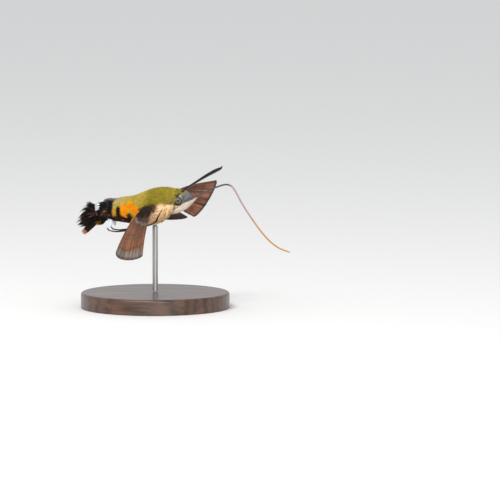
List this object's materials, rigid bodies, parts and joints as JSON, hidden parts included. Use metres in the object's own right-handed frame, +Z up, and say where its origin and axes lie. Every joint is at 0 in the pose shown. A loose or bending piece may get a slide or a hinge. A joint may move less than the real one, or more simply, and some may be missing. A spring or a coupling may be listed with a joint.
{
  "type": "hummingbird hawk moth model on a display stand",
  "caption": "Life-size hovering hawk moth with spread wings, clubbed antennae and long bent proboscis, held by a rod over a round display base.",
  "frame": {"origin": "centre of the underside of the stand's base", "axes": "+X towards the moth's head, +Y towards its left side, +Z up"},
  "size_m": [0.0552, 0.0404, 0.0369],
  "materials": {
    "olive_fur": "matt, short soft fur",
    "orange_fur": "matt, dense scales",
    "black_fur": "matt, dense scales and hair-like tufts",
    "cream_fur": "matt, dense pale scales",
    "eye": "glossy, faceted",
    "antenna": "satin",
    "proboscis": "satin",
    "wing": "matt, scaled membrane",
    "hindwing": "matt, scaled membrane",
    "leg": "matt, scaled",
    "lacquered_wood": "lacquered",
    "rod_metal": "brushed"
  },
  "bodies": {
    "root": {"thorax": "olive_fur", "abdomen_front": "olive_fur", "abdomen_middle": "orange_fur", "abdomen_rear": "black_fur", "tail_fan": "black_fur", "tail_pencil": "black_fur", "head": "olive_fur", "eye_left": "eye", "palp_left": "cream_fur", "antenna_left": "antenna", "forewing_left": "wing", "hindwing_left": "hindwing", "foreleg_left": "leg", "midleg_left": "leg", "hindleg_left": "leg", "eye_right": "eye", "palp_right": "cream_fur", "antenna_right": "antenna", "forewing_right": "wing", "hindwing_right": "hindwing", "foreleg_right": "leg", "midleg_right": "leg", "hindleg_right": "leg", "proboscis_1": "proboscis", "proboscis_2": "proboscis", "proboscis_3": "proboscis", "proboscis_4": "proboscis", "stand_base": "lacquered_wood", "stand_rod": "rod_metal"}
  },
  "joints": []
}
